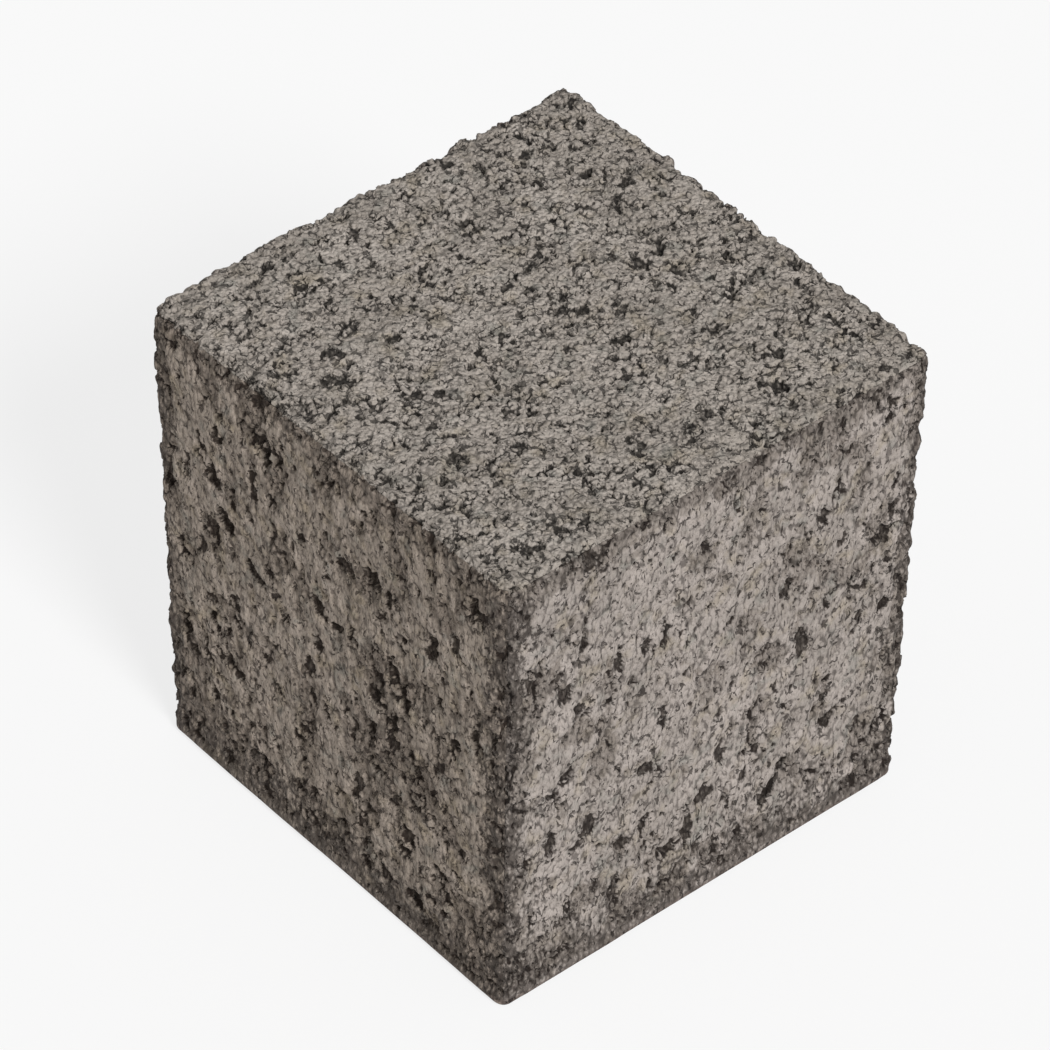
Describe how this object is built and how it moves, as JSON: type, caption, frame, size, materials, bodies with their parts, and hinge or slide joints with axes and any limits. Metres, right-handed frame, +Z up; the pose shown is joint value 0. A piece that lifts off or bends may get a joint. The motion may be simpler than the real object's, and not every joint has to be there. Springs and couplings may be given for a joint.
{
  "type": "concrete cube",
  "caption": "Solid cube of dry-cast concrete with rounded arrises, an open grainy top and pitted, cement-smeared sides, for paving, edging, spacing or ballast.",
  "frame": {"origin": "middle of the base, on the floor it stands on", "axes": "+Z up through the top, the front wall looks along -Y and the left wall along -X"},
  "size_m": [0.0998, 0.0998, 0.104],
  "materials": {
    "dry_cast_concrete": "open-textured dry-cast grey concrete: packed sand grains on top, cement-smeared and pitted on the walls, matt"
  },
  "bodies": {
    "root": {"concrete_cube": "dry_cast_concrete"}
  },
  "joints": []
}
